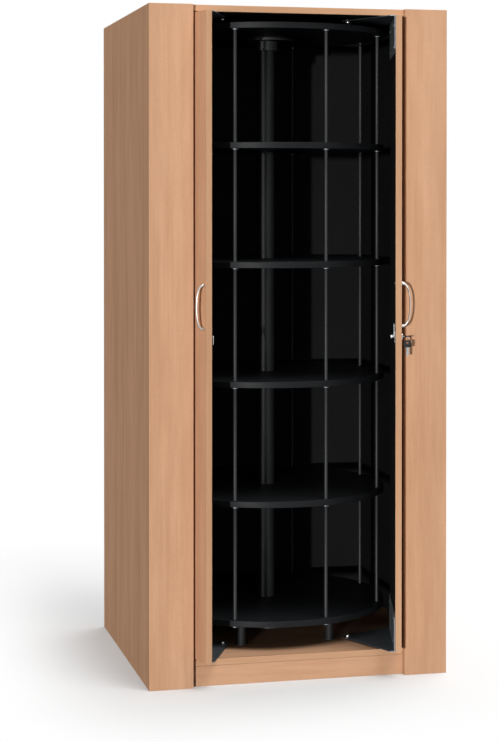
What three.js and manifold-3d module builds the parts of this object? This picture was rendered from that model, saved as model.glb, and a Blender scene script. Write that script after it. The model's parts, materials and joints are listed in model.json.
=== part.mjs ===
// Rotary filing cabinet. A beech carcass stands round a carousel of six round shelves on a thrust
// bearing. Two leaves close the doorway: each hangs on set-back pivot plates, so that it swings out
// at its free edge and in at its other edge and keeps clear of the shelves all the way.
// Millimetres, +Z up, front towards -Y. The origin is on the floor, under the middle of the cabinet
// with both leaves open.

import * as THREE from 'three';
import { mergeVertices } from 'three/addons/utils/BufferGeometryUtils.js';
import Module from 'manifold-3d';

const wasm = await Module();
wasm.setup();

const { PI, abs, acos, atan2, cos, hypot, sign, sin, sqrt, tan } = Math;
const degree = PI / 180;

// Clearance between pieces that meet
const fit = 0.3;

// Carousel
const shelfRadius = 380;
const shelfThickness = 19;
const tierPitch = 362;
const tierCount = 5;
const underShelfSpace = 72;
const postCount = 8;
const postRadius = 6;
const postInset = 15;
const postCollarRadius = 11;
const postCollarHeight = 3;
const restTurn = 16.5 * degree;
const columnRadius = 30;
const columnWall = 4;
const hubRadius = 42;
const hubFlangeRadius = 90;
const hubFlangeThickness = 10;
const upperHubHeight = 40;

// Bearings
const baseFlangeRadius = 80;
const baseFlangeThickness = 8;
const spindleHeight = 120;
const raceRadius = 46;
const raceThickness = 6;
const ballRadius = 5;
const ballCount = 8;
const cageThickness = 3;
const cageMargin = 1;
const topPlateRadius = 70;
const topPlateThickness = 6;
const topPinRadius = 12;
const topPinLength = 40;
const bushLength = 30;
const bushFlangeThickness = 4;
const columnStandOut = 2;

// Support legs under the lowest shelf
const legSpacing = 60;
const legRadius = 13;
const legFootRadius = 16;
const legFootThickness = 4;
const legPadThickness = 5;

// Carcass
const boardThickness = 19;
const pilasterThickness = 19;
const backThickness = 8;
const plinthHeight = 60;
const sideClearance = 61;
const backClearance = 19;
const topClearance = 21;

// Leaves and their pivot plates
const openAngle = 75 * degree;
const leafThickness = 19;
const leafGap = 2;
const leafOverlap = 5;
const leafEndGap = 3;
const leafClearance = 18;
const pilasterGap = 2;
const pilasterClearance = 7;
const openStandOut = 54.4;
const plateThickness = 2.5;
const plateEndMargin = 14;
const plateCornerDepth = 16;
const plateApexRadius = 18;
const flangeHeight = 115;
const flangeCut = 14;
const pinRadius = 5;
const pinCollarRadius = 13;
const pinHeadRadius = 8;
const pinHeadSide = 3;
const pinDomeHeight = 6;

// Bow handles
const handleHeight = 1129;
const handleInset = 15;
const handleSpan = 128;
const handleReach = 25.5;
const handleRoundness = 0.83;
const handleWidth = 10;
const handleFootThickness = 12;
const handleMiddleThickness = 5;
const handleTaper = 2;

// Lock and keys
const lockBelowHandle = 33;
const lockInset = 25;
const rosetteRadius = 11;
const rosetteThickness = 3;
const barrelRadius = 9;
const plugRadius = 6;
const lockPlateWidth = 30;
const lockPlateHeight = 36;
const lockPlateThickness = 1.5;
const camWidth = 14;
const camThickness = 2.5;
const camKnobRadius = 7;
const camKnobHeight = 9;
const strikeHeight = 26;
const strikeRise = 6.5;
const strikeSheet = 1.5;
const strikeInset = 3;
const strikeLength = 19;
const strikeFootLength = 12;
const strikeBite = 12;
const keyThickness = 2.3;
const keyBladeWidth = 7.4;
const keyBladeLength = 20;
const keyNeckLength = 4;
const keyHeadWidth = 22;
const keyHeadLength = 21;
const keyHeadCorner = 5;
const keyHoleRim = 3;
const ringRadius = 9;
const ringWireRadius = 0.8;

// Facets
const rimFacets = 60;
const turnedFacets = 24;
const postFacets = 8;
const apexSteps = 7;
const pinHoleFacets = 16;
const domeSteps = 4;
const handleRings = 20;
const handleFacets = 10;
const keyCurveSteps = 5;
const ballFacets = 8;
const ballRings = 4;
const ringFacets = 6;
const weldDistance = 1e-4;

// Heights that follow from the stack of floor, shelves and top
const floorTop = plinthHeight + boardThickness;
const lowestShelf = floorTop + underShelfSpace;
const shelfHeights = Array.from({ length: tierCount + 1 }, (_, tier) => lowestShelf + tier * tierPitch);
const highestShelf = shelfHeights[tierCount];
const carouselTop = highestShelf + shelfThickness;
const topUnderside = carouselTop + topClearance;
const cabinetHeight = topUnderside + boardThickness;

// Depths from the front of the pilasters. Shut and open, a leaf keeps the same distance from the
// shelves, because its plane touches one circle round the carousel both times. That and how far the
// open leaf stands out in front of the pilasters place the pivot.
const leafFront = pilasterThickness + pilasterGap;
const leafBack = leafFront + leafThickness;
const leafCircle = shelfRadius + leafClearance;
const axisY = leafBack + leafCircle;
const swing = 1 - cos(openAngle);
const openCorner = leafThickness * cos(openAngle) - (leafGap / 2) * sin(openAngle);
const pivotSetback = (leafCircle * swing + openCorner - leafBack - openStandOut) / (2 * swing);
const pivotY = leafBack + pivotSetback;
const pivotX = (axisY - pivotY) * tan(openAngle / 2);
const backFront = axisY + shelfRadius + backClearance;
const cabinetDepth = backFront + backThickness;

// Widths. The open leaf has to pass the inner corner of the pilaster.
const insideHalf = shelfRadius + sideClearance;
const outsideHalf = insideHalf + boardThickness;
const outerFaceReach = pivotSetback + leafThickness;
const cornerReach = outerFaceReach + pilasterClearance - (outerFaceReach + pilasterGap) * cos(openAngle);
const doorwayHalf = pivotX + cornerReach / sin(openAngle);

// A leaf seen from its pivot, shut: x away from the free edge, y towards the carousel
const freeEdge = leafGap / 2 - pivotX;
const hingeEdge = doorwayHalf + leafOverlap - pivotX;
const innerFace = -pivotSetback;
const outerFace = -outerFaceReach;
const leafBottom = floorTop + leafEndGap;
const leafTop = topUnderside - leafEndGap;
const lockHeight = handleHeight - handleSpan / 2 - lockBelowHandle;

// The ring hangs round the rim of the key's hole, free to turn about it, so the hole takes its wire
const ringDrop = ringRadius - ringWireRadius - hypot(keyHoleRim, keyThickness) / 2 - fit;
const wireReach = sqrt((ringRadius + ringWireRadius) ** 2 - (ringDrop - keyThickness / 2) ** 2);
const keyHoleRadius = (wireReach + 2 * fit - keyHoleRim / 2) / 2;

const beech = { color: 0xd2a178, roughness: 0.5, metalness: 0 };
const backBoard = { color: 0x2b2724, roughness: 0.7, metalness: 0 };
const blackBoard = { color: 0x1d1e20, roughness: 0.45, metalness: 0 };
const blackSteel = { color: 0x232426, roughness: 0.4, metalness: 0.6 };
const zincSteel = { color: 0x9aa0a4, roughness: 0.35, metalness: 1 };
const brightSteel = { color: 0xd8d9da, roughness: 0.2, metalness: 1 };
const satinMetal = { color: 0xc9c7c2, roughness: 0.3, metalness: 1 };
const blackPlastic = { color: 0x18181a, roughness: 0.4, metalness: 0 };

function piece(name, geometry, finish) {
  const mesh = new THREE.Mesh(geometry, new THREE.MeshStandardMaterial(finish));
  mesh.name = name;
  return mesh;
}

// Straight-edged board between two limits along each axis
function board(name, [x0, x1], [y0, y1], [z0, z1], finish = beech) {
  const geometry = new THREE.BoxGeometry(x1 - x0, y1 - y0, z1 - z0);
  geometry.translate((x0 + x1) / 2, (y0 + y1) / 2, (z0 + z1) / 2);
  return piece(name, geometry, finish);
}

// Flat piece with a plan outline, from one height to another
function slab(outline, z0, z1, curveSegments = turnedFacets / 2) {
  const depth = z1 - z0;
  const geometry = new THREE.ExtrudeGeometry(outline, { depth, bevelEnabled: false, curveSegments });
  return geometry.translate(0, 0, z0);
}

// Flat piece with an outline in x and z, standing between two depths
function upright(outline, y0, y1, curveSegments = turnedFacets / 2) {
  return slab(outline, -y1, -y0, curveSegments).rotateX(PI / 2);
}

// Piece turned round the z axis from pairs of radius and height
function turned(profile, facets = turnedFacets) {
  const points = profile.map(([radius, height]) => new THREE.Vector2(radius, height));
  return new THREE.LatheGeometry(points, facets).rotateX(PI / 2);
}

function turnedRing(inner, outer, z0, z1, facets = turnedFacets) {
  return turned([[inner, z0], [outer, z0], [outer, z1], [inner, z1], [inner, z0]], facets);
}

function rectangle(x0, x1, y0, y1) {
  return polygon([[x0, y0], [x1, y0], [x1, y1], [x0, y1]]);
}

function polygon(points) {
  const corners = points.map(([x, y]) => new THREE.Vector2(x, y));
  return new THREE.Shape(THREE.ShapeUtils.isClockWise(corners) ? corners.reverse() : corners);
}

function circle(x, y, radius) {
  return new THREE.Shape().absarc(x, y, radius, 0, 2 * PI, false);
}

function roundHole(x, y, radius) {
  return new THREE.Path().absarc(x, y, radius, 0, 2 * PI, true);
}

// Hole with as many corners as the turned piece that goes through it
function facetedHole(x, y, radius, facets) {
  const corners = Array.from({ length: facets }, (_, corner) => {
    const turn = (-2 * PI * corner) / facets;
    return new THREE.Vector2(x + radius * sin(turn), y + radius * cos(turn));
  });
  return new THREE.Path(corners);
}

function solidOf(geometry) {
  const bare = geometry.clone();
  bare.deleteAttribute('normal');
  bare.deleteAttribute('uv');
  const merged = mergeVertices(bare, weldDistance);
  const vertProperties = new Float32Array(merged.attributes.position.array);
  const triVerts = new Uint32Array(merged.index.array);
  return new wasm.Manifold(new wasm.Mesh({ numProp: 3, vertProperties, triVerts }));
}

function joined(...geometries) {
  const [first, ...rest] = geometries.map(solidOf);
  const mesh = rest.reduce((sum, solid) => sum.add(solid), first).getMesh();
  const geometry = new THREE.BufferGeometry();
  geometry.setAttribute('position', new THREE.BufferAttribute(mesh.vertProperties, 3));
  geometry.setIndex(new THREE.BufferAttribute(mesh.triVerts, 1));
  geometry.computeVertexNormals();
  return geometry;
}

// Sides, pilasters, top, floor, plinths and back
function carcass() {
  const group = new THREE.Group();
  const behindPilaster = pilasterThickness + fit;
  const betweenSides = [-insideHalf + fit, insideHalf - fit];
  const betweenFaces = [behindPilaster, backFront - fit];
  const underFloor = [0, plinthHeight - fit];
  const fullHeight = [0, cabinetHeight];
  const sides = [['left', -1], ['right', 1]];
  for (const [name, side] of sides) {
    const acrossSide = [side * insideHalf, side * outsideHalf].sort((a, b) => a - b);
    const acrossPilaster = [side * doorwayHalf, side * outsideHalf].sort((a, b) => a - b);
    group.add(board(`${name}_side_panel`, acrossSide, [behindPilaster, cabinetDepth], fullHeight));
    group.add(board(`${name}_pilaster`, acrossPilaster, [0, pilasterThickness], fullHeight));
  }
  for (const [name, low] of [['floor_panel', plinthHeight], ['top_panel', topUnderside]]) {
    const [x0, x1] = betweenSides;
    const outline = rectangle(x0, x1, ...betweenFaces);
    for (const [, side] of sides) {
      outline.holes.push(roundHole(side * pivotX, pivotY, pinRadius + fit));
    }
    group.add(piece(name, slab(outline, low, low + boardThickness), beech));
  }
  const plinthFronts = {
    front_plinth: behindPilaster,
    middle_bearer: axisY - boardThickness / 2,
    rear_plinth: backFront - fit - boardThickness,
  };
  for (const [name, front] of Object.entries(plinthFronts)) {
    group.add(board(name, betweenSides, [front, front + boardThickness], underFloor));
  }
  group.add(board('back_panel', betweenSides, [backFront, cabinetDepth], fullHeight, backBoard));
  return group;
}

// Pin in the floor or the top: a collar carries the plate, a domed head keeps it on
function pivotPin(name) {
  const plateFace = leafEndGap + plateThickness + fit;
  const domeStart = plateFace + pinHeadSide;
  const dome = Array.from({ length: domeSteps }, (_, step) => {
    const turn = (step / domeSteps) * (PI / 2);
    return [pinHeadRadius * cos(turn), domeStart + pinDomeHeight * sin(turn)];
  });
  const profile = [
    [0, -boardThickness],
    [pinRadius, -boardThickness],
    [pinRadius, fit],
    [pinCollarRadius, fit],
    [pinCollarRadius, leafEndGap - fit],
    [pinRadius, leafEndGap - fit],
    [pinRadius, plateFace],
    [pinHeadRadius, plateFace],
    ...dome,
    [0, domeStart + pinDomeHeight],
  ];
  return piece(name, turned(profile, turnedFacets / 2), brightSteel);
}

function pivotPins(name, side) {
  const group = new THREE.Group();
  const lower = pivotPin(`${name}_lower_pivot_pin`);
  lower.position.set(side * pivotX, pivotY, floorTop);
  const upper = pivotPin(`${name}_upper_pivot_pin`);
  upper.position.set(side * pivotX, pivotY, topUnderside);
  upper.rotation.x = PI;
  group.add(lower, upper);
  return group;
}

// Three-cornered plate, round at the pivot, bent up or down into a flange on the leaf's inner face
function pivotPlate(name, side, upwards) {
  const x0 = freeEdge + plateEndMargin;
  const x1 = hingeEdge - plateEndMargin;
  const flangeFront = innerFace + fit;
  const flangeBack = flangeFront + plateThickness;
  const shoulder = innerFace + plateCornerDepth;
  const firstTurn = tangentTurn(x1, shoulder, 1);
  const lastTurn = tangentTurn(x0, shoulder, -1) + 2 * PI;
  const apex = Array.from({ length: apexSteps + 1 }, (_, step) => {
    const turn = firstTurn + ((lastTurn - firstTurn) * step) / apexSteps;
    return [side * plateApexRadius * cos(turn), plateApexRadius * sin(turn)];
  });
  const outline = polygon([
    [side * x0, shoulder],
    [side * x0, flangeFront],
    [side * x1, flangeFront],
    [side * x1, shoulder],
    ...apex,
  ]);
  outline.holes.push(roundHole(0, 0, pinRadius + fit));

  const root = upwards ? leafBottom : leafTop;
  const away = upwards ? 1 : -1;
  const [plateLow, plateHigh] = [root, root + away * plateThickness].sort((a, b) => a - b);
  const flangeEnd = root + away * flangeHeight;
  const flange = polygon([
    [side * x0, root],
    [side * x1, root],
    [side * x1, flangeEnd - away * flangeCut],
    [side * (x1 - flangeCut), flangeEnd],
    [side * (x0 + flangeCut), flangeEnd],
    [side * x0, flangeEnd - away * flangeCut],
  ]);
  const plate = slab(outline, plateLow, plateHigh, pinHoleFacets / 2);
  return piece(name, joined(plate, upright(flange, flangeFront, flangeBack)), zincSteel);
}

// Direction from the pivot to where a line from a corner of the plate touches its round apex
function tangentTurn(x, y, hand) {
  return atan2(y, x) + hand * acos(plateApexRadius / hypot(x, y));
}

// Bow of oval section, thicker at its feet, made of rings along half a flattened ring. A roundness of
// 1 makes that an ellipse, and less makes it fuller towards the feet.
function handle(name, side) {
  const corners = [];
  const triangles = [];
  for (let ring = 0; ring <= handleRings; ring += 1) {
    const turn = (PI * ring) / handleRings;
    const extraThickness = (handleFootThickness - handleMiddleThickness) * (1 - sin(turn)) ** handleTaper;
    const thickness = handleMiddleThickness + extraThickness;
    const out = handleReach * signedPower(sin(turn), handleRoundness);
    const along = (handleSpan / 2) * signedPower(cos(turn), handleRoundness);
    const slope = new THREE.Vector2(
      handleReach * signedPower(cos(turn), 2 - handleRoundness),
      (handleSpan / 2) * signedPower(sin(turn), 2 - handleRoundness),
    ).normalize();
    for (let facet = 0; facet < handleFacets; facet += 1) {
      const around = (2 * PI * facet) / handleFacets;
      const lift = (thickness / 2) * sin(around);
      corners.push(
        (handleWidth / 2) * cos(around),
        -out - lift * slope.y,
        -along - lift * slope.x,
      );
      if (ring < handleRings) {
        const here = ring * handleFacets + facet;
        const beside = ring * handleFacets + ((facet + 1) % handleFacets);
        triangles.push(here, here + handleFacets, beside);
        triangles.push(beside, here + handleFacets, beside + handleFacets);
      }
    }
  }
  const lastRing = handleRings * handleFacets;
  for (let facet = 1; facet < handleFacets - 1; facet += 1) {
    triangles.push(0, facet, facet + 1);
    triangles.push(lastRing, lastRing + facet + 1, lastRing + facet);
  }
  const geometry = new THREE.BufferGeometry();
  geometry.setAttribute('position', new THREE.Float32BufferAttribute(corners, 3));
  geometry.setIndex(triangles);
  geometry.computeVertexNormals();
  geometry.translate(side * (freeEdge + handleInset), outerFace - fit, handleHeight);
  return piece(name, geometry, satinMetal);
}

function signedPower(value, exponent) {
  return sign(value) * abs(value) ** exponent;
}

// One leaf with its handle and two plates, standing open on its pivot
function door(name, side) {
  const group = new THREE.Group();
  group.position.set(side * pivotX, pivotY, 0);
  group.rotation.z = side * openAngle;
  const outline = rectangle(side * freeEdge, side * hingeEdge, leafBottom, leafTop);
  if (side > 0) {
    outline.holes.push(roundHole(freeEdge + lockInset, lockHeight, barrelRadius + fit));
  }
  group.add(piece(`${name}_door_leaf`, upright(outline, outerFace, innerFace), beech));
  group.add(handle(`${name}_handle`, side));
  group.add(pivotPlate(`${name}_lower_pivot_plate`, side, true));
  group.add(pivotPlate(`${name}_upper_pivot_plate`, side, false));
  return group;
}

// Strike on the left leaf: a foot on the leaf and a raised tongue, under which the cam comes to lie
function strike() {
  const end = strikeInset + strikeLength;
  const section = [
    [end + strikeFootLength, 0],
    [end + strikeFootLength, strikeSheet],
    [end, strikeSheet],
    [end, strikeRise],
    [strikeInset, strikeRise],
    [strikeInset, strikeRise - strikeSheet],
    [end - strikeSheet, strikeRise - strikeSheet],
    [end - strikeSheet, 0],
  ];
  const outline = polygon(section.map(([x, rise]) => [-(freeEdge + x), innerFace + fit + rise]));
  const bottom = lockHeight - strikeHeight / 2;
  return piece('strike_plate', slab(outline, bottom, bottom + strikeHeight), zincSteel);
}

// Lock in the right leaf. Depths run from the rosette outside to the knob of the cam inside.
function lock() {
  const group = new THREE.Group();
  group.position.set(freeEdge + lockInset, 0, lockHeight);
  const face = outerFace - fit - rosetteThickness;
  const plateFront = innerFace + fit;
  const plateBack = plateFront + lockPlateThickness;
  const camFront = plateBack + fit;
  const camBack = camFront + camThickness;
  const barrelEnd = camFront - 2 * fit;
  const facingOut = (geometry) => geometry.rotateX(-PI / 2);

  const bore = plugRadius + fit;
  const cylinder = facingOut(turned([
    [bore, face],
    [rosetteRadius, face],
    [rosetteRadius, outerFace - fit],
    [barrelRadius, outerFace - fit],
    [barrelRadius, barrelEnd],
    [bore, barrelEnd],
    [bore, face],
  ]));
  group.add(piece('lock_cylinder', cylinder, brightSteel));

  const halfWidth = lockPlateWidth / 2;
  const halfHeight = lockPlateHeight / 2;
  const plateOutline = rectangle(-halfWidth, halfWidth, -halfHeight, halfHeight);
  plateOutline.holes.push(roundHole(0, 0, barrelRadius + fit));
  group.add(piece('lock_plate', upright(plateOutline, plateFront, plateBack), zincSteel));

  const keywayHalf = keyBladeWidth / 2 + fit;
  const keywayRise = keyThickness / 2 + fit;
  const plugOutline = circle(0, 0, plugRadius);
  plugOutline.holes.push(rectangle(-keywayHalf, keywayHalf, -keywayRise, keywayRise));
  group.add(piece('lock_plug', upright(plugOutline, face, camFront - fit, turnedFacets), brightSteel));

  const camReach = lockInset + leafGap + strikeBite;
  const arm = new THREE.Shape();
  arm.moveTo(-camWidth / 2, 0);
  arm.absarc(0, 0, camWidth / 2, -PI, 0, false);
  arm.lineTo(camWidth / 2, camReach);
  arm.lineTo(-camWidth / 2, camReach);
  arm.closePath();
  const knobEnd = camBack + camKnobHeight;
  const knob = facingOut(turned([
    [0, camFront],
    [camKnobRadius, camFront],
    [camKnobRadius, knobEnd],
    [0, knobEnd],
  ]));
  group.add(piece('lock_cam', joined(upright(arm, camFront, camBack), knob), zincSteel));

  group.add(keyInLock(face));
  group.add(...spareKeyOnRing(face));
  return group;
}

// Outline of a key, blade downwards: the head starts at y = 0 and its hole sits beside the middle
function keyOutline(holeX, holeY, bladeLength) {
  const half = keyHeadWidth / 2;
  const top = keyHeadLength;
  const neck = -keyNeckLength;
  const outline = new THREE.Shape();
  outline.moveTo(-keyBladeWidth / 2, neck - bladeLength);
  outline.lineTo(keyBladeWidth / 2, neck - bladeLength);
  outline.lineTo(keyBladeWidth / 2, 0);
  outline.lineTo(half - keyHeadCorner, 0);
  outline.absarc(half - keyHeadCorner, keyHeadCorner, keyHeadCorner, -PI / 2, 0, false);
  outline.absarc(half - keyHeadCorner, top - keyHeadCorner, keyHeadCorner, 0, PI / 2, false);
  outline.absarc(keyHeadCorner - half, top - keyHeadCorner, keyHeadCorner, PI / 2, PI, false);
  outline.absarc(keyHeadCorner - half, keyHeadCorner, keyHeadCorner, PI, 1.5 * PI, false);
  outline.lineTo(-keyBladeWidth / 2, 0);
  outline.closePath();
  outline.holes.push(roundHole(holeX, holeY, keyHoleRadius));
  return outline;
}

// Key lying flat in the keyway, its head outside the rosette and its hole towards the free edge
function keyInLock(face) {
  const holeX = keyHeadWidth / 2 - keyHoleRim - keyHoleRadius;
  const outline = keyOutline(holeX, keyHeadLength / 2, keyBladeLength);
  const geometry = slab(outline, -keyThickness / 2, keyThickness / 2, keyCurveSteps).rotateZ(PI);
  return piece('key', geometry.translate(0, face - keyNeckLength, 0), blackPlastic);
}

// Ring round the rim of the key's hole, and the spare key hanging from it
function spareKeyOnRing(face) {
  const barX = keyHoleRim / 2 - keyHeadWidth / 2;
  const barY = face - keyNeckLength - keyHeadLength / 2;
  const ring = new THREE.TorusGeometry(ringRadius, ringWireRadius, ringFacets, turnedFacets).rotateX(PI / 2);
  ring.translate(barX, barY, -ringDrop);

  const holeTop = -ringDrop - ringRadius + ringWireRadius + fit;
  const headTop = holeTop + keyHoleRim;
  const outline = keyOutline(0, keyHeadLength - keyHoleRim - keyHoleRadius, keyBladeLength);
  const spare = upright(outline, -keyThickness / 2, keyThickness / 2, keyCurveSteps).rotateZ(PI / 2);
  spare.translate(barX, barY, headTop - keyHeadLength);
  return [piece('key_ring', ring, brightSteel), piece('spare_key', spare, blackPlastic)];
}

// Post through all the shelves, with a collar under each
function post(name) {
  const profile = [[0, lowestShelf - fit - postCollarHeight]];
  for (const height of shelfHeights) {
    const collarTop = height - fit;
    const collarBottom = collarTop - postCollarHeight;
    if (height !== lowestShelf) {
      profile.push([postRadius, collarBottom]);
    }
    profile.push([postCollarRadius, collarBottom], [postCollarRadius, collarTop], [postRadius, collarTop]);
  }
  profile.push([postRadius, carouselTop], [0, carouselTop]);
  return piece(name, turned(profile, postFacets), blackSteel);
}

// Flanged hub that clamps a shelf to the column from below
function hub(name, bottom, top) {
  const bore = columnRadius + fit;
  const flangeBottom = top - hubFlangeThickness;
  return piece(name, turned([
    [bore, bottom],
    [hubRadius, bottom],
    [hubRadius, flangeBottom],
    [hubFlangeRadius, flangeBottom],
    [hubFlangeRadius, top],
    [bore, top],
    [bore, bottom],
  ]), blackSteel);
}

// Fixed and turning pieces of the thrust bearing, from the floor up, and the guide under the top
const lowerRaceBottom = floorTop + fit + baseFlangeThickness + fit;
const cageMiddle = lowerRaceBottom + raceThickness + fit + ballRadius;
const upperRaceBottom = cageMiddle + ballRadius + fit;
const columnBottom = upperRaceBottom + raceThickness + fit;
const columnTop = carouselTop + columnStandOut;
const columnBore = columnRadius - columnWall;
const spindleRadius = columnBore - fit;

function fixedBearings() {
  const group = new THREE.Group();
  group.position.set(0, axisY, 0);
  const flangeTop = floorTop + fit + baseFlangeThickness;
  group.add(piece('bearing_base', turned([
    [0, floorTop + fit],
    [baseFlangeRadius, floorTop + fit],
    [baseFlangeRadius, flangeTop],
    [spindleRadius, flangeTop],
    [spindleRadius, flangeTop + spindleHeight],
    [0, flangeTop + spindleHeight],
  ]), zincSteel));
  const raceBore = spindleRadius + fit;
  const lowerRace = turnedRing(raceBore, raceRadius, lowerRaceBottom, lowerRaceBottom + raceThickness);
  group.add(piece('lower_race', lowerRace, brightSteel));

  const pitchRadius = (raceBore + raceRadius) / 2;
  const cageHalf = ballRadius - cageMargin;
  const cage = turnedRing(pitchRadius - cageHalf, pitchRadius + cageHalf,
    cageMiddle - cageThickness / 2, cageMiddle + cageThickness / 2);
  const balls = Array.from({ length: ballCount }, (_, ball) => {
    const turn = (2 * PI * ball) / ballCount;
    const sphere = new THREE.SphereGeometry(ballRadius, ballFacets, ballRings);
    return sphere.translate(pitchRadius * cos(turn), pitchRadius * sin(turn), cageMiddle);
  });
  group.add(piece('ball_cage', joined(cage, ...balls), brightSteel));

  const plateTop = topUnderside - fit;
  const plateBottom = plateTop - topPlateThickness;
  group.add(piece('top_bearing_plate', turned([
    [0, plateBottom - topPinLength],
    [topPinRadius, plateBottom - topPinLength],
    [topPinRadius, plateBottom],
    [topPlateRadius, plateBottom],
    [topPlateRadius, plateTop],
    [0, plateTop],
  ]), zincSteel));
  return group;
}

function supportLegs() {
  const group = new THREE.Group();
  const bottom = floorTop + fit;
  const top = lowestShelf - fit;
  const profile = [
    [0, bottom],
    [legFootRadius, bottom],
    [legFootRadius, bottom + legFootThickness],
    [legRadius, bottom + legFootThickness],
    [legRadius, top - legPadThickness],
    [legFootRadius, top - legPadThickness],
    [legFootRadius, top],
    [0, top],
  ];
  const frontRow = axisY - pivotY;
  for (const [row, along] of [['front', -frontRow], ['rear', frontRow]]) {
    for (const [hand, side] of [['left', -1], ['right', 1]]) {
      const leg = piece(`${row}_${hand}_support_leg`, turned(profile, turnedFacets / 2), blackPlastic);
      leg.position.set(side * (pivotX - legSpacing), axisY + along, 0);
      group.add(leg);
    }
  }
  return group;
}

// Everything that turns: column, hubs, shelves, posts and the turning bearing pieces
function carousel() {
  const group = new THREE.Group();
  group.position.set(0, axisY, 0);
  group.rotation.z = restTurn;
  const postCircle = shelfRadius - postInset;
  const postPlaces = Array.from({ length: postCount }, (_, place) => {
    const turn = (2 * PI * place) / postCount;
    return [postCircle * sin(turn), -postCircle * cos(turn)];
  });
  shelfHeights.forEach((height, tier) => {
    const outline = circle(0, 0, shelfRadius);
    outline.holes.push(facetedHole(0, 0, columnRadius + fit, turnedFacets));
    for (const [x, y] of postPlaces) {
      outline.holes.push(facetedHole(x, y, postRadius + fit, postFacets));
    }
    const name = tier < tierCount ? `shelf_${tier + 1}` : 'carousel_top';
    group.add(piece(name, slab(outline, height, height + shelfThickness, rimFacets / 2), blackBoard));
  });
  postPlaces.forEach(([x, y], place) => {
    const mesh = post(`post_${place + 1}`);
    mesh.position.set(x, y, 0);
    group.add(mesh);
  });
  const tube = turnedRing(columnBore, columnRadius, columnBottom, columnTop);
  group.add(piece('column', tube, blackSteel));
  group.add(hub('lower_hub', columnBottom, lowestShelf - fit));
  group.add(hub('upper_hub', highestShelf - fit - upperHubHeight, highestShelf - fit));
  const raceTop = upperRaceBottom + raceThickness;
  const upperRace = turnedRing(spindleRadius + fit, raceRadius, upperRaceBottom, raceTop);
  group.add(piece('upper_race', upperRace, brightSteel));
  const bushBore = topPinRadius + fit;
  const bushFlange = columnTop + fit;
  group.add(piece('top_bush', turned([
    [bushBore, columnTop - bushLength],
    [columnBore - fit, columnTop - bushLength],
    [columnBore - fit, bushFlange],
    [columnRadius, bushFlange],
    [columnRadius, bushFlange + bushFlangeThickness],
    [bushBore, bushFlange + bushFlangeThickness],
    [bushBore, columnTop - bushLength],
  ]), blackPlastic));
  return group;
}

const cabinet = new THREE.Group();
cabinet.name = 'rotary_filing_cabinet';
cabinet.position.y = (openStandOut - cabinetDepth) / 2;
const leftDoor = door('left', -1);
leftDoor.add(strike());
const rightDoor = door('right', 1);
rightDoor.add(lock());
cabinet.add(carcass(), pivotPins('left', -1), pivotPins('right', 1), leftDoor, rightDoor);
cabinet.add(carousel(), fixedBearings(), supportLegs());

export default cabinet;
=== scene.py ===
"""Looks of a rotary filing cabinet in beech: boards, leaves, carousel, pivots, lock and keys."""

import json
import math

import bpy
from mathutils import Matrix, Vector


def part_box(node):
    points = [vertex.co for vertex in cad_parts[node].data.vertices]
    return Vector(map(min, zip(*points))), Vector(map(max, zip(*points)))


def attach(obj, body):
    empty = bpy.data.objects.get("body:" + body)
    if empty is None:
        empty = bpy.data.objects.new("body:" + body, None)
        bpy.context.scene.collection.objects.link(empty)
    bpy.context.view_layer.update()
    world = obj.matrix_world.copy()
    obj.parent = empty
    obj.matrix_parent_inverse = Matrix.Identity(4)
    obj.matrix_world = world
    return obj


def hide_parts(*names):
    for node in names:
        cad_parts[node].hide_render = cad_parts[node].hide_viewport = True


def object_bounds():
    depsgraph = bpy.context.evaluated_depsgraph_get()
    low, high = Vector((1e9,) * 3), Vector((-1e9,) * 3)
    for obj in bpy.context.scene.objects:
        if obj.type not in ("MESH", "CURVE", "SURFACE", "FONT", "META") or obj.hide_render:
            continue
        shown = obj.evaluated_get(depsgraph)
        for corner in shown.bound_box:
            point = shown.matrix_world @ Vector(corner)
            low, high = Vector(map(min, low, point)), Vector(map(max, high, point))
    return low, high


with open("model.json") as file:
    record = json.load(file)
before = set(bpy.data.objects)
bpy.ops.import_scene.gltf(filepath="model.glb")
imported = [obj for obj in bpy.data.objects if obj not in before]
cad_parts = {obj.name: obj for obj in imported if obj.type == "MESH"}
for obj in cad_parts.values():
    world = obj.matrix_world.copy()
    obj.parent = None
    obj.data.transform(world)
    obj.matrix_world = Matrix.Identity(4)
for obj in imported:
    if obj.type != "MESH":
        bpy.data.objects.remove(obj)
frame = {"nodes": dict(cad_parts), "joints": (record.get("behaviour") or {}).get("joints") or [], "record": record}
cad_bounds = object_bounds()

# Sizes are in metres
MM = 0.001

# View, in pixels of the picture where the name says so
IMAGE_HEIGHT_PX = 741
FOCAL_LENGTH_PX = 1845.9
SHIFT_PX = -150
CAMERA_PLACE = Vector((-1.4322, -5.7189, 1.4496))
CAMERA_YAW = 0.2351
CAMERA_TILT = -0.0123
SENSOR_LONG_SIDE = 36.0

# Light: where each lamp shines from, its spread, and its share of the full level,
# at which a colour renders as it is written; a little more comes from all round
AMBIENT = 0.035
LAMPS = {
    "front_light": (Vector((-0.5, -0.866, 0.016)), math.radians(1.6), 0.86),
    "soft_light": (Vector((0.26, -0.4, 0.88)), math.radians(32), 0.45),
    "top_light": (Vector((0.25, 0.1, 0.94)), math.radians(56), 0.75),
    "rear_light": (Vector((0.7, 0.7, 0.2)), math.radians(50), 0.35),
}
LAMP_DISTANCE = 4.0
BACKGROUND_RAYS = ("Is Camera Ray", "Is Glossy Ray", "Is Transmission Ray")
WHITE = (1, 1, 1, 1)

# Room floor: matt as it is seen, nearly black as it lights the cabinet. A share of it glows by
# itself, and the glow rises to plain white over the fade, sideways and in depth. Behind the
# cabinet that starts only after the length of its shade.
FLOOR_SIZE = 60.0
FLOOR_MATT = (0.8, 0.8, 0.8, 1)
FLOOR_BOUNCE = (0.05, 0.05, 0.05, 1)
FLOOR_GLOW = 0.3
FLOOR_FADE = (0.45, 0.65)
SHADE_LENGTH = 1.2

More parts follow.
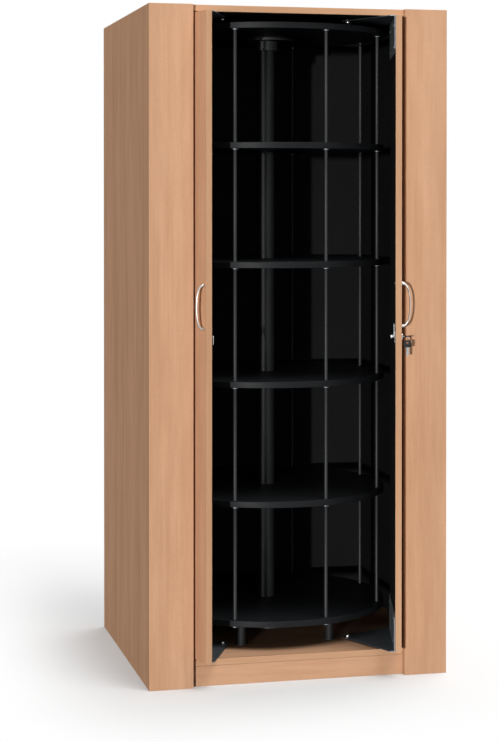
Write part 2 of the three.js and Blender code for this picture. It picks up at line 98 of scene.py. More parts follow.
# Rounding of edges
BOARD_EDGE = 0.9 * MM
SHELF_EDGE = 1.6 * MM
METAL_EDGE = 0.35 * MM
SMALL_EDGE = 0.2 * MM
SMOOTH_ANGLE = math.radians(32)
MERGE_DISTANCE = 0.01 * MM

# Faces that look along an axis, faces that lie in one plane, and edges of a handle's foot
FLAT = 0.99
ONE_PLANE_ANGLE = math.radians(1)
FOOT_ANGLE = math.radians(60)

# Facets of round pieces
RIM_SIDES = 192
ROUND_SIDES = 48
POST_SIDES = 24

# Measures of pieces that the frame gives only as a whole
COLLAR_HEIGHT = 3 * MM
COLLAR_GAP = 0.3 * MM
POST_RADIUS = 6 * MM
COLUMN_WALL = 4 * MM
PLATE_THICKNESS = 2.5 * MM
HANDLE_SPAN = 128 * MM
KNOB_HEIGHT = 9 * MM
KEY_HEAD = 21 * MM
KEY_GROOVE_MARGIN = 2.3 * MM
KEY_GROOVE_DEPTH = 0.4 * MM
KEY_NOTCH_DEPTHS = (1.0 * MM, 1.9 * MM, 0.8 * MM, 1.5 * MM)
KEY_NOTCH_PITCH = 3.6 * MM

# Pivot pin as radius and height above its board, from the buried end to the dome
PIN_PROFILE_MM = (
    (5, -18), (5, 0.3), (13, 0.3), (13, 2.7), (5, 2.7), (5, 5.8), (8, 5.8),
    (8, 8.8), (7.4, 11.1), (5.7, 13), (3.1, 14.3), (1, 14.8),
)

# Screw heads as radius and height above their board, the crossed slot in them,
# and the turn from a head that looks up to one that looks back
PAN_HEAD_MM = ((3.2, 0), (3.4, 0.5), (3.2, 1.1), (2.5, 1.7), (1.4, 1.9))
FLUSH_HEAD_MM = ((1.9, -1.2), (3, 0.1), (2.85, 0.25))
SLOT_LENGTH = 3.8 * MM
SLOT_WIDTH = 0.9 * MM
SLOT_DEPTH = 1.0 * MM
HEAD_STAND_OUT = 0.3 * MM
FACING_BACK = Matrix.Rotation(-math.pi / 2, 4, "X")

# Places of screws, on a plate's flange as shares of its height and width
BACK_SCREWS = 7
BACK_SCREW_INSET = 9.5 * MM
BACK_SCREW_END = 40 * MM
PLATE_SCREW_ROWS = {"lower": (0.24, 0.82), "upper": (0.18, 0.76)}
PLATE_SCREW_COLUMNS = (0.12, 0.88)
LOCK_SCREW_INSET = 5 * MM
STRIKE_SHEET = 1.5 * MM

# Finishes, as linear colours
BEECH_LIGHT = (0.715, 0.418, 0.255, 1)
BEECH_DARK = (0.54, 0.292, 0.166, 1)
BEECH_FLECK = (0.4, 0.185, 0.09, 1)
BAND_LIGHT = (0.66, 0.392, 0.235, 1)
BAND_DARK = (0.55, 0.305, 0.172, 1)

# What the frame says of its nodes and joints
BODIES = frame["record"]["behaviour"]["bodies"]
BODY_OF = {node: body for body, nodes in BODIES.items() for node in nodes}
JOINTS = {joint["name"]: joint for joint in frame["joints"]}
DOORS = {"left": "left_door_swing", "right": "right_door_swing"}
CAROUSEL_AXIS = Vector(JOINTS["carousel_turn"]["pos_m"])

# What repeats on the carousel, the lowest board first
ROUND_BOARDS = [f"shelf_{tier}" for tier in range(1, 6)] + ["carousel_top"]
POSTS = [f"post_{count}" for count in range(1, 9)]


class Wire:
    """A value in a material's nodes. Arithmetic on it adds Math nodes."""

    def __init__(self, tree, socket=None):
        self.tree = tree
        self.socket = socket

    def node(self, kind, settings=None, sockets=None, output=0):
        """A node of any kind: its settings first, then the values or links of its sockets."""
        made = self.tree.nodes.new("ShaderNode" + kind)
        for name, value in (settings or {}).items():
            setattr(made, name, value)
        for name, value in (sockets or {}).items():
            join(self.tree, made.inputs[name], value)
        return Wire(self.tree, made.outputs[output])

    def maths(self, operation, *values):
        return self.node("Math", {"operation": operation}, dict(enumerate(values)))

    def __add__(self, other):
        return self.maths("ADD", self, other)

    __radd__ = __add__

    def __sub__(self, other):
        return self.maths("SUBTRACT", self, other)

    def __rsub__(self, other):
        return self.maths("SUBTRACT", other, self)

    def __mul__(self, other):
        return self.maths("MULTIPLY", self, other)

    __rmul__ = __mul__

    def between(self, low, high):
        """0 below low, 1 above high, and a smooth rise between."""
        settings = {"interpolation_type": "SMOOTHSTEP"}
        return self.node("MapRange", settings, {"Value": self, "From Min": low, "From Max": high})

    def stretched(self, x, y, z):
        return self.node("Mapping", None, {"Vector": self, "Scale": (x, y, z)})

    def noise(self, scale, detail=2.0, roughness=0.5):
        sockets = {"Vector": self, "Scale": scale, "Detail": detail, "Roughness": roughness}
        return self.node("TexNoise", None, sockets)

    def cells(self, scale):
        return self.node("TexVoronoi", None, {"Vector": self, "Scale": scale}, "Color")

    def blend(self, first, second):
        """The first colour where this is 0 and the second where it is 1."""
        return self.node("Mix", {"data_type": "RGBA"}, {0: self, 6: first, 7: second}, 2)

    def bump(self, strength, distance):
        sockets = {"Strength": strength, "Distance": distance, "Height": self}
        return self.node("Bump", None, sockets)


def join(tree, socket, value):
    """A socket takes a link from a wire, or a plain value."""
    if isinstance(value, Wire):
        tree.links.new(value.socket, socket)
    else:
        socket.default_value = value


def new_finish(name):
    """An empty material, and the place on the object as a wire in it."""
    material = bpy.data.materials.new(name)
    material.use_nodes = True
    return material, Wire(material.node_tree).node("TexCoord", output="Object")


def shade(material, **sockets):
    """The main shader's sockets, with _ for a space in their names."""
    shader = material.node_tree.nodes["Principled BSDF"]
    for name, value in sockets.items():
        join(material.node_tree, shader.inputs[name.replace("_", " ")], value)
    return material


def beech(name, along, light, dark, flecks):
    """Beech foil, grain along one axis: broad bands, soft clouds, fine streaks, short flecks."""
    material, place = new_finish(name)
    slow = [0.05 if axis == along else 1.0 for axis in "xyz"]
    short = [0.16 if axis == along else 1.0 for axis in "xyz"]
    grain = place.stretched(*slow)
    bands = grain.noise(11, 3.0, 0.55)
    streaks = grain.noise(150, 4.0, 0.6)
    figure = grain.noise(48, 2.0, 0.5)
    clouds = place.stretched(*short).noise(26, 3.0, 0.55)
    tone = 0.7 * bands + 0.5 * figure + 0.42 * clouds + 0.25 * streaks - 0.435
    wood = tone.between(0.1, 0.9).blend(dark, light)
    fleck = place.stretched(*short).noise(1400, 1.0).between(0.6, 0.7) * flecks
    return shade(
        material,
        Base_Color=fleck.blend(wood, BEECH_FLECK),
        Roughness=0.45 + 0.16 * streaks,
        Specular_IOR_Level=0.004,
        Normal=(streaks - fleck).bump(0.06, 0.1 * MM),
    )


def black_lining_and_painted_shade():
    """Black lining on the inside faces round the carousel and on the leaves' inner faces; its near-black colour is
    partly the lining's own and partly painted shade for the unlit inside.
    """
    material, place = new_finish("black_lining_and_painted_shade")
    pebble = place.noise(900, 2.0)
    cloud = place.noise(5, 2.0)
    return shade(
        material,
        Base_Color=cloud.blend((0.003, 0.003, 0.0033, 1), (0.006, 0.006, 0.0063, 1)),
        Roughness=0.55 + 0.2 * pebble,
        Specular_IOR_Level=0.12,
        Normal=pebble.bump(0.1, 0.1 * MM),
    )


def fibreboard():
    """Dark thin board with short pressed fibres."""
    material, place = new_finish("fibreboard")
    fibres = place.stretched(1, 1, 0.35).noise(260, 5.0, 0.7)
    cloud = place.noise(7, 3.0)
    tone = 0.6 * fibres + 0.4 * cloud
    return shade(
        material,
        Base_Color=tone.blend((0.014, 0.012, 0.01, 1), (0.05, 0.042, 0.034, 1)),
        Roughness=0.6 + 0.25 * fibres,
        Normal=fibres.bump(0.25, 0.2 * MM),
    )


def black_melamine():
    """Black board with a fine pebbled skin, a little shiny."""
    material, place = new_finish("black_melamine")
    pebble = place.noise(1100, 2.0)
    rubbed = place.noise(9, 4.0, 0.6)
    return shade(
        material,
        Base_Color=rubbed.blend((0.0075, 0.008, 0.0085, 1), (0.013, 0.014, 0.0155, 1)),
        Roughness=0.34 + 0.14 * rubbed + 0.1 * pebble,
        Specular_IOR_Level=0.1,
        Normal=pebble.bump(0.12, 0.08 * MM),
    )


def black_powder_coat():
    """Black powder coat with the orange-peel skin that it dries to."""
    material, place = new_finish("black_powder_coat")
    peel = place.noise(520, 3.0, 0.55)
    dust = place.noise(14, 3.0)
    return shade(
        material,
        Base_Color=dust.blend((0.008, 0.0085, 0.009, 1), (0.016, 0.017, 0.018, 1)),
        Roughness=0.42 + 0.2 * peel,
        Specular_IOR_Level=0.35,
        Normal=peel.bump(0.3, 0.12 * MM),
    )


def zinc_sheet():
    """Zinc-plated sheet steel with faint spangles and rolling marks."""
    material, place = new_finish("zinc_sheet")
    spangle = place.cells(170)
    marks = place.stretched(1, 1, 0.04).noise(700, 3.0, 0.6)
    cloud = place.noise(16, 3.0)
    tone = 0.35 * spangle + 0.3 * marks + 0.35 * cloud
    return shade(
        material,
        Base_Color=tone.blend((0.12, 0.137, 0.148, 1), (0.24, 0.262, 0.276, 1)),
        Roughness=0.36 + 0.2 * marks + 0.1 * spangle,
        Metallic=1.0,
        Normal=marks.bump(0.08, 0.05 * MM),
    )


def bright_nickel():
    """Bright nickel with fine handling scratches."""
    material, place = new_finish("bright_nickel")
    scratches = place.stretched(1, 0.06, 1).noise(1500, 4.0, 0.7)
    haze = place.noise(60, 3.0)
    return shade(
        material,
        Base_Color=haze.blend((0.42, 0.415, 0.4, 1), (0.55, 0.545, 0.53, 1)),
        Roughness=0.18 + 0.16 * scratches,
        Metallic=1.0,
        Normal=scratches.bump(0.05, 0.03 * MM),
    )


def satin_silver():
    """Silver lacquer over cast metal, a little duller where hands rub it."""
    material, place = new_finish("satin_silver")
    grain = place.noise(2200, 2.0)
    rubbed = place.noise(45, 3.0, 0.6)
    return shade(
        material,
        Base_Color=rubbed.blend((0.47, 0.462, 0.44, 1), (0.58, 0.57, 0.55, 1)),
        Roughness=0.27 + 0.12 * rubbed + 0.08 * grain,
        Metallic=1.0,
        Normal=grain.bump(0.06, 0.03 * MM),
    )


def black_plastic():
    """Black moulded plastic with a fine spark texture."""
    material, place = new_finish("black_plastic")
    spark = place.noise(1800, 2.0)
    worn = place.noise(70, 3.0)
    return shade(
        material,
        Base_Color=worn.blend((0.008, 0.008, 0.009, 1), (0.018, 0.018, 0.019, 1)),
        Roughness=0.5 + 0.2 * spark,
        Specular_IOR_Level=0.2,
        Normal=spark.bump(0.2, 0.05 * MM),
    )


upright_beech = beech("upright_beech", "z", BEECH_LIGHT, BEECH_DARK, 0.3)
level_beech = beech("level_beech", "x", BEECH_LIGHT, BEECH_DARK, 0.3)
upright_band = beech("upright_band", "z", BAND_LIGHT, BAND_DARK, 0.1)
level_band = beech("level_band", "x", BAND_LIGHT, BAND_DARK, 0.1)
# Black lining, partly painted shade: near black on inside faces that stand in the dark
lining_and_painted_shade = black_lining_and_painted_shade()
dark_board = fibreboard()
melamine = black_melamine()
powder_coat = black_powder_coat()
zinc = zinc_sheet()
nickel = bright_nickel()
silver = satin_silver()
plastic = black_plastic()


def deselect():
    if bpy.context.mode != "OBJECT":
        bpy.ops.object.mode_set(mode="OBJECT")
    bpy.ops.object.select_all(action="DESELECT")


def take(piece):
    """The one selected and active object."""
    deselect()
    piece.select_set(True)
    bpy.context.view_layer.objects.active = piece


def settle(piece):
    """The piece's place, turn and size go into its mesh."""
    take(piece)
    bpy.ops.object.transform_apply(location=True, rotation=True, scale=True)


def modify(piece, kind, **settings):
    """A modifier, added and applied."""
    take(piece)
    modifier = piece.modifiers.new(kind.lower(), kind)
    for name, value in settings.items():
        setattr(modifier, name, value)
    bpy.ops.object.modifier_apply(modifier=modifier.name)


def soften(piece, width, segments=2, angle=SMOOTH_ANGLE):
    """Sharp edges are rounded, and round stretches look smooth."""
    modify(piece, "BEVEL", width=width, segments=segments, limit_method="ANGLE", angle_limit=angle)
    smooth(piece)


def smooth(piece):
    take(piece)
    bpy.ops.object.shade_smooth_by_angle(angle=SMOOTH_ANGLE)


def even_out(piece):
    """Wide flat faces are shaded flat up to their rounded edges."""
    modify(piece, "WEIGHTED_NORMAL", keep_sharp=True)


def block(name, low, high):
    deselect()
    bpy.ops.mesh.primitive_cube_add(size=1, location=(low + high) / 2, scale=high - low)
    piece = bpy.context.object
    piece.name = name
    settle(piece)
    return piece


def turned(name, axis, profile, sides=ROUND_SIDES):
    """A piece turned about an upright line, from pairs of radius and height, bottom first."""
    deselect()
    (radius, height), *others = profile
    bpy.ops.mesh.primitive_circle_add(
        vertices=sides, radius=radius, fill_type="NGON", location=(axis.x, axis.y, height))
    piece = bpy.context.object
    piece.name = name
    settle(piece)
    bpy.ops.object.mode_set(mode="EDIT")
    bpy.ops.mesh.select_all(action="SELECT")
    for next_radius, next_height in others:
        rise = (0, 0, next_height - height)
        bpy.ops.mesh.extrude_region_move(TRANSFORM_OT_translate={"value": rise})
        growth = next_radius / radius
        centre = (axis.x, axis.y, next_height)
        bpy.ops.transform.resize(value=(growth, growth, 1), center_override=centre)
        radius, height = next_radius, next_height
    bpy.ops.mesh.select_all(action="SELECT")
    bpy.ops.mesh.normals_make_consistent(inside=False)
    bpy.ops.object.mode_set(mode="OBJECT")
    return piece


def twin(piece, name, move):
    """A copy with its own mesh, moved by a matrix."""
    copy = piece.copy()
    copy.data = piece.data.copy()
    copy.data.transform(move)
    copy.name = name
    bpy.context.collection.objects.link(copy)
    return copy


def paint(piece, *materials):
    piece.data.materials.clear()
    for material in materials:
        piece.data.materials.append(material)


def paint_faces(piece, index, chosen):
    """The piece's material of that number on the faces for which chosen is true."""
    for face in piece.data.polygons:
        if chosen(face):
            face.material_index = index


def edit_faces(piece, chosen):
    """Edit mode with only the faces selected for which chosen is true."""
    take(piece)
    bpy.ops.object.mode_set(mode="EDIT")
    bpy.ops.mesh.select_mode(type="FACE")
    bpy.ops.mesh.select_all(action="DESELECT")
    bpy.ops.object.mode_set(mode="OBJECT")
    for face in piece.data.polygons:
        face.select = chosen(face)
    bpy.ops.object.mode_set(mode="EDIT")


def cut(piece, cutter):
    """The cutter's shape is taken out of the piece, and the cutter is used up."""
    modify(piece, "BOOLEAN", operation="DIFFERENCE", object=cutter, solver="EXACT")
    bpy.data.objects.remove(cutter)


def middle_of(node):
    low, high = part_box(node)
    return (low + high) / 2


def inset_ends(low, high, inset):
    return low + inset, high - inset


def replace(piece, node):
    """The piece stands for a frame node, on its body."""
    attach(piece, BODY_OF[node])
    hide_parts(node)


def merged_copy(node, move=Matrix.Identity(4)):
    """A copy of a frame node without its labels, merged to clean faces and moved by a matrix."""
    piece = twin(frame["nodes"][node], node + "_dressed", move)
    for label in list(piece.keys()):
        del piece[label]
    piece.parent = None
    take(piece)
    bpy.ops.object.mode_set(mode="EDIT")
    bpy.ops.mesh.select_all(action="SELECT")
    bpy.ops.mesh.remove_doubles(threshold=MERGE_DISTANCE)
    bpy.ops.mesh.dissolve_limited(angle_limit=ONE_PLANE_ANGLE)
    bpy.ops.object.mode_set(mode="OBJECT")
    return piece


def dress(node, material, edge):
    """A merged copy of a frame node with its edges rounded."""
    piece = merged_copy(node)
    soften(piece, edge)
    even_out(piece)
    paint(piece, material)
    replace(piece, node)


def board(node, face_finish, band_finish, inside=None, shy=Vector()):
    """A board between the node's corners, less shy where screw heads stand out of it."""
    low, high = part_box(node)
    piece = block(node + "_board", low, high - shy)
    size = high - low
    thin = min(range(3), key=lambda axis: size[axis])
    finish_board(piece, thin, face_finish, band_finish, inside)
    replace(piece, node)


def finish_board(piece, thin, face_finish, band_finish, inside=None):
    """Foil on both faces, band on the edges, and black lining with painted shade on the face that looks inside."""
    soften(piece, BOARD_EDGE)
    even_out(piece)
    paint(piece, face_finish, band_finish, lining_and_painted_shade)
    paint_faces(piece, 1, lambda face: abs(face.normal[thin]) < FLAT)
    if inside:
        paint_faces(piece, 2, lambda face: face.normal.dot(inside) > FLAT)


def carcass():
    for side, inwards in (("left", 1), ("right", -1)):
        board(f"{side}_side_panel", upright_beech, upright_band, Vector((inwards, 0, 0)))
        board(f"{side}_pilaster", upright_beech, upright_band, Vector((0, 1, 0)))
    board("top_panel", level_beech, level_band, Vector((0, 0, -1)))
    for node in ("floor_panel", "front_plinth", "middle_bearer", "rear_plinth"):
        board(node, level_beech, level_band)
    board("back_panel", dark_board, dark_board, Vector((0, -1, 0)), Vector((0, HEAD_STAND_OUT, 0)))
    back_screws()


def back_screws():
    """A row of screws through the back into the top, and one into the floor."""
    head = screw_head("flush_screw", FLUSH_HEAD_MM)
    low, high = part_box("back_panel")
    first, last = inset_ends(low.x, high.x, BACK_SCREW_END)
    board_tops = {"upper": high.z, "lower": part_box("floor_panel")[1].z}
    for row, board_top in board_tops.items():
        z = board_top - BACK_SCREW_INSET
        for count in range(BACK_SCREWS):
            x = first + (last - first) * count / (BACK_SCREWS - 1)
            place = Matrix.Translation((x, high.y - HEAD_STAND_OUT, z))
            drive(head, f"{row}_back_screw_{count + 1}", "cabinet", place @ FACING_BACK)
    bpy.data.objects.remove(head)


def leaf_turn(side):
    """The matrix that takes a shut leaf to where it stands open."""
    joint = JOINTS[DOORS[side]]
    pivot = Vector((joint["pos_m"][0], joint["pos_m"][1], 0))
    opening = -math.radians(sum(joint["range_deg"]))
    return Matrix.Translation(pivot) @ Matrix.Rotation(opening, 4, "Z") @ Matrix.Translation(-pivot)


def shut_box(node, turn):
    """A leaf piece's lowest and highest corners with the leaf shut."""
    back = turn.inverted()
    corners = [back @ vertex.co for vertex in frame["nodes"][node].data.vertices]
    low = Vector(min(corner[axis] for corner in corners) for axis in range(3))
    high = Vector(max(corner[axis] for corner in corners) for axis in range(3))
    return low, high


def hang(piece, turn):
    """A piece made on the shut leaf goes where the leaf stands open."""
    piece.matrix_world = turn
    settle(piece)


def leaf(side, turn):
    node = f"{side}_door_leaf"
    piece = block(node + "_board", *shut_box(node, turn))
    # Its inner face takes the black lining, here painted shade on a face that stands in the dark
    finish_board(piece, 1, upright_beech, upright_band, Vector((0, 1, 0)))
    hang(piece, turn)
    replace(piece, node)


def bow_handle(side):
    """The frame's bow as a smooth surface, with its feet kept square on the leaf."""
    node = f"{side}_handle"
    piece = merged_copy(node)
    bpy.ops.object.mode_set(mode="EDIT")
    bpy.ops.mesh.select_all(action="SELECT")
    bpy.ops.mesh.tris_convert_to_quads()
    bpy.ops.object.mode_set(mode="OBJECT")
    soften(piece, SMALL_EDGE, angle=FOOT_ANGLE)
    modify(piece, "SUBSURF", levels=2, render_levels=2)
    smooth(piece)
    paint(piece, silver)
    replace(piece, node)


def screw_head(name, profile_mm):
    """The head of a screw with a crossed slot, standing on the origin."""
    profile = [(radius * MM, height * MM) for radius, height in profile_mm]
    head = turned(name, Vector(), profile, POST_SIDES)
    top = profile[-1][1]
    for turn in (0, math.pi / 2):
        low = Vector((-SLOT_LENGTH / 2, -SLOT_WIDTH / 2, top - SLOT_DEPTH))
        high = Vector((SLOT_LENGTH / 2, SLOT_WIDTH / 2, top + SLOT_DEPTH))
        slot = block("slot", low, high)
        slot.data.transform(Matrix.Rotation(turn, 4, "Z"))
        cut(head, slot)
    smooth(head)
    paint(head, silver)
    return head


def drive(head, name, body, place):
    """A copy of a screw's head, moved to its place on a body by a matrix."""
    screw = twin(head, name, place)
    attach(screw, body)


def leaf_screws(head, side, turn):
    """Screws on the inner side: four through each plate's flange, and two that hold the handle."""
    places = []
    for level, rows in PLATE_SCREW_ROWS.items():
        low, high = shut_box(f"{side}_{level}_pivot_plate", turn)
        heights = [low.z + row * (high.z - low.z) for row in rows]
        across = [low.x + share * (high.x - low.x) for share in PLATE_SCREW_COLUMNS]
        for count, (x, z) in enumerate([(x, z) for x in across for z in heights], 1):
            places.append((f"{side}_{level}_plate_screw_{count}", (x, low.y + PLATE_THICKNESS, z)))
    low, high = shut_box(f"{side}_handle", turn)
    inner_face = shut_box(f"{side}_door_leaf", turn)[1].y
    middle = (low + high) / 2
    for count, rise in enumerate((-HANDLE_SPAN / 2, HANDLE_SPAN / 2), 1):
        places.append((f"{side}_handle_screw_{count}", (middle.x, inner_face, middle.z + rise)))
    for name, place in places:
        drive(head, name, f"{side}_door", turn @ Matrix.Translation(place) @ FACING_BACK)


def pivot_pin(node, board_face, upwards):
    """A pin that stands on the floor, or hangs from the top where upwards is -1."""
    profile = [
        (radius * MM, board_face + upwards * height * MM) for radius, height in PIN_PROFILE_MM]
    piece = turned(node + "_turned", middle_of(node), profile)
    soften(piece, METAL_EDGE)
    paint(piece, nickel)
    replace(piece, node)


def leaves():
    head = screw_head("pan_screw", PAN_HEAD_MM)
    for side in DOORS:
        turn = leaf_turn(side)
        leaf(side, turn)
        bow_handle(side)
        leaf_screws(head, side, turn)
        for level in ("lower", "upper"):
            dress(f"{side}_{level}_pivot_plate", zinc, METAL_EDGE)
        pivot_pin(f"{side}_lower_pivot_pin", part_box("floor_panel")[1].z, 1)
        pivot_pin(f"{side}_upper_pivot_pin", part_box("top_panel")[0].z, -1)
    bpy.data.objects.remove(head)


def lock():
    turn = leaf_turn("right")
    dress("lock_plate", zinc, METAL_EDGE)
    dress("lock_cylinder", nickel, METAL_EDGE)
    dress("lock_plug", nickel, SMALL_EDGE)
    dress("strike_plate", silver, METAL_EDGE)
    lock_cam(turn)
    keys(turn)
    lock_screws(turn)


def lock_cam(turn):
    """Zinc-plated arm with a bright knob, the end of it towards the carousel."""
    piece = merged_copy("lock_cam", turn.inverted())
    soften(piece, METAL_EDGE)
    paint(piece, zinc, nickel)
    knob_start = shut_box("lock_cam", turn)[1].y - KNOB_HEIGHT
    paint_faces(piece, 1, lambda face: face.center.y > knob_start + MERGE_DISTANCE)
    hang(piece, turn)
    replace(piece, "lock_cam")


def keys(turn):
    """One key in the lock, a spare one under it, and the ring that joins them."""
    in_lock = shut_key("key", turn, Vector((0, -1, 0)))
    spare = shut_key("spare_key", turn, Vector((0, 0, 1)))
    cut_blade(spare, *shut_box("spare_key", turn))
    for piece, node in ((in_lock, "key"), (spare, "spare_key")):
        hang(piece, turn)
        replace(piece, node)
    ring = merged_copy("key_ring")
    modify(ring, "SUBSURF", levels=2, render_levels=2)
    smooth(ring)
    paint(ring, nickel)
    replace(ring, "key_ring")


def shut_key(node, turn, headwards):
    """A bright blade under a black head whose far end lies headwards, as on the shut leaf."""
    piece = merged_copy(node, turn.inverted())
    far = max(vertex.co.dot(headwards) for vertex in piece.data.vertices)
    head_start = far - KEY_HEAD
    edit_faces(piece, lambda face: True)
    bpy.ops.mesh.bisect(plane_co=head_start * headwards, plane_no=headwards)
    bpy.ops.object.mode_set(mode="OBJECT")
    paint(piece, plastic, zinc)
    paint_faces(piece, 1, lambda face: face.center.dot(headwards) < head_start)
    soften(piece, METAL_EDGE)
    return piece


def cut_blade(piece, low, high):
    """A groove along both faces of an upright key's blade, and notches in one edge."""
    head_start = high.z - KEY_HEAD
    edit_faces(piece, lambda face: abs(face.normal.x) > FLAT and face.center.z < head_start)
    bpy.ops.mesh.inset(thickness=KEY_GROOVE_MARGIN, depth=-KEY_GROOVE_DEPTH)
    bpy.ops.object.mode_set(mode="OBJECT")
    middle = (low + high) / 2
    blade_end = head_start - KEY_GROOVE_MARGIN
    edge = max(vertex.co.y for vertex in piece.data.vertices if vertex.co.z < blade_end)
    for count, depth in enumerate(KEY_NOTCH_DEPTHS, 1):
        half = Vector((high.x - low.x, depth / math.sqrt(2), depth / math.sqrt(2)))
        notch = block("notch", -half, half)
        notch.data.transform(Matrix.Rotation(math.pi / 4, 4, "X"))
        notch.data.transform(Matrix.Translation((middle.x, edge, low.z + count * KEY_NOTCH_PITCH)))
        paint(notch, plastic, zinc)
        paint_faces(notch, 1, lambda face: True)
        cut(piece, notch)
    smooth(piece)


def lock_screws(turn):
    """Flush screws in the corners of the lock's plate, and two in the foot of the strike."""
    head = screw_head("flush_screw", FLUSH_HEAD_MM)
    low, high = shut_box("lock_plate", turn)
    across = inset_ends(low.x, high.x, LOCK_SCREW_INSET)
    heights = inset_ends(low.z, high.z, LOCK_SCREW_INSET)
    for count, (x, z) in enumerate([(x, z) for x in across for z in heights], 1):
        place = Matrix.Translation((x, high.y, z))
        drive(head, f"lock_plate_screw_{count}", "right_door", turn @ place @ FACING_BACK)
    strike_turn = leaf_turn("left")
    low, high = shut_box("strike_plate", strike_turn)
    for count, z in enumerate(inset_ends(low.z, high.z, LOCK_SCREW_INSET), 1):
        place = Matrix.Translation((low.x + LOCK_SCREW_INSET, low.y + STRIKE_SHEET, z))
        drive(head, f"strike_screw_{count}", "left_door", strike_turn @ place @ FACING_BACK)
    bpy.data.objects.remove(head)


def shelves():
    low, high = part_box(ROUND_BOARDS[0])
    radius = high.x
    first = turned("round_board", CAROUSEL_AXIS, [(radius, low.z), (radius, high.z)], RIM_SIDES)
    soften(first, SHELF_EDGE, 3)
    even_out(first)
    paint(first, melamine)
    for node in ROUND_BOARDS:
        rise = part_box(node)[0].z - low.z
        piece = twin(first, node + "_board", Matrix.Translation((0, 0, rise)))
        replace(piece, node)
    bpy.data.objects.remove(first)


def posts():
    """Black posts with a bright collar under each round board. The lowest one closes their end."""
    low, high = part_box(POSTS[0])
    middle = middle_of(POSTS[0])
    collar_radius = (high.x - low.x) / 2
    profile = []
    for node in ROUND_BOARDS:
        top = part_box(node)[0].z - COLLAR_GAP
        bottom = top - COLLAR_HEIGHT
        profile += [(POST_RADIUS, bottom), (collar_radius, bottom)]
        profile += [(collar_radius, top), (POST_RADIUS, top)]
    profile[0] = (POST_RADIUS / 2, profile[0][1])
    profile.append((POST_RADIUS, high.z))
    first = turned("post", middle, profile, POST_SIDES)
    soften(first, METAL_EDGE)
    paint(first, powder_coat, zinc)
    paint_faces(first, 1, lambda face: (face.center - middle).xy.length > POST_RADIUS)
    for node in POSTS:
        move = middle_of(node) - middle
        move.z = 0
        piece = twin(first, node + "_rod", Matrix.Translation(move))
        replace(piece, node)
    bpy.data.objects.remove(first)


def column():
    """A tube with a hub at each end."""
    low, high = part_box("column")
    radius = (high.x - low.x) / 2
    tube = turned("column_tube", CAROUSEL_AXIS, [(radius, low.z), (radius, high.z)])
    edit_faces(tube, lambda face: abs(face.normal.z) > FLAT)
    bpy.ops.mesh.delete(type="ONLY_FACE")
    bpy.ops.object.mode_set(mode="OBJECT")
    modify(tube, "SOLIDIFY", thickness=COLUMN_WALL, offset=-1, use_even_offset=True)
    soften(tube, METAL_EDGE)
    paint(tube, powder_coat)
    replace(tube, "column")
    for node in ("lower_hub", "upper_hub"):
        dress(node, powder_coat, METAL_EDGE)


def bearings():
    """Thrust bearing on the floor, guide at the top, and legs under the lowest shelf."""
    for node in ("bearing_base", "top_bearing_plate"):
        dress(node, zinc, METAL_EDGE)
    for node in ("lower_race", "upper_race", "ball_cage"):
        dress(node, nickel, SMALL_EDGE)
    dress("top_bush", plastic, METAL_EDGE)
    for row in ("front", "rear"):
        for side in ("left", "right"):
            dress(f"{row}_{side}_support_leg", plastic, METAL_EDGE)


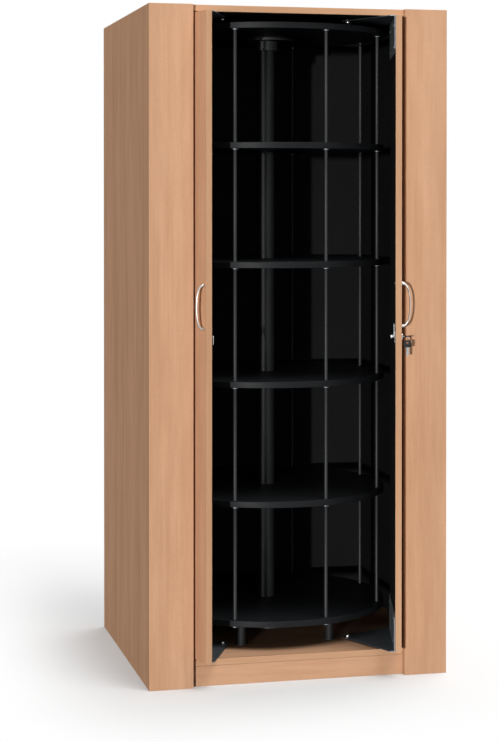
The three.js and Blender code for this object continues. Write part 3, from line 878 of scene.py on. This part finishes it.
def stage_floor():
    deselect()
    bpy.ops.mesh.primitive_plane_add(size=FLOOR_SIZE)
    floor = bpy.context.object
    floor.name = "floor"
    material = bpy.data.materials.new("pale_floor")
    material.use_nodes = True
    tree = material.node_tree
    tree.nodes.remove(tree.nodes["Principled BSDF"])
    start = Wire(tree)
    seen = seen_rays(start)
    matt = start.node("BsdfDiffuse", None, {"Color": FLOOR_MATT})
    dull = start.node("BsdfDiffuse", None, {"Color": FLOOR_BOUNCE})
    glow = start.node("Emission", None, {"Color": WHITE, "Strength": 1.0})
    fade = fade_from_cabinet(start.node("TexCoord", output="Object"))
    glow_share = FLOOR_GLOW + (1 - FLOOR_GLOW) * fade
    pale = start.node("MixShader", None, {0: glow_share, 1: matt, 2: glow})
    both = start.node("MixShader", None, {0: seen, 1: dull, 2: pale})
    join(tree, tree.nodes["Material Output"].inputs["Surface"], both)
    paint(floor, material)


def fade_from_cabinet(place):
    """0 on the ground that the cabinet covers or shades, rising to 1 where the floor is white."""
    low, high = cad_bounds
    ends = (high[0], high[1] + SHADE_LENGTH)
    far = 0.0
    for axis, start, end, width in zip("XY", low, ends, FLOOR_FADE):
        value = place.node("SeparateXYZ", None, {"Vector": place}, axis)
        outside = place.maths("MAXIMUM", start - value, value - end)
        share = place.maths("MAXIMUM", outside, 0.0) * (1 / width)
        far = share * share + far
    return place.maths("SQRT", far).between(0, 1)


def seen_rays(start):
    """1 on rays that show the background: straight from the camera, mirrored or through glass."""
    straight, mirrored, through = (start.node("LightPath", output=name) for name in BACKGROUND_RAYS)
    return start.maths("MAXIMUM", straight, start.maths("MAXIMUM", mirrored, through))


def light():
    world = bpy.data.worlds.new("studio")
    world.use_nodes = True
    bpy.context.scene.world = world
    tree = world.node_tree
    strength = seen_rays(Wire(tree)) * (1 - AMBIENT) + AMBIENT
    background = tree.nodes["Background"]
    background.inputs["Color"].default_value = WHITE
    join(tree, background.inputs["Strength"], strength)
    for name, (direction, spread, level) in LAMPS.items():
        deselect()
        bpy.ops.object.light_add(type="SUN", location=LAMP_DISTANCE * direction.normalized())
        lamp = bpy.context.object
        lamp.name = name
        lamp.data.energy = math.pi * level
        lamp.data.angle = spread
        lamp.rotation_euler = (-direction).to_track_quat("-Z", "Y").to_euler()


def camera():
    deselect()
    turn = (math.pi / 2 + CAMERA_TILT, 0, -CAMERA_YAW)
    bpy.ops.object.camera_add(location=CAMERA_PLACE, rotation=turn)
    view = bpy.context.object
    view.name = "camera"
    view.data.sensor_width = SENSOR_LONG_SIDE
    view.data.lens = FOCAL_LENGTH_PX * SENSOR_LONG_SIDE / IMAGE_HEIGHT_PX
    view.data.shift_y = SHIFT_PX / IMAGE_HEIGHT_PX
    bpy.context.scene.camera = view


camera()
carcass()
leaves()
lock()
shelves()
posts()
column()
bearings()
stage_floor()
light()
bpy.context.scene.view_settings.view_transform = "Standard"
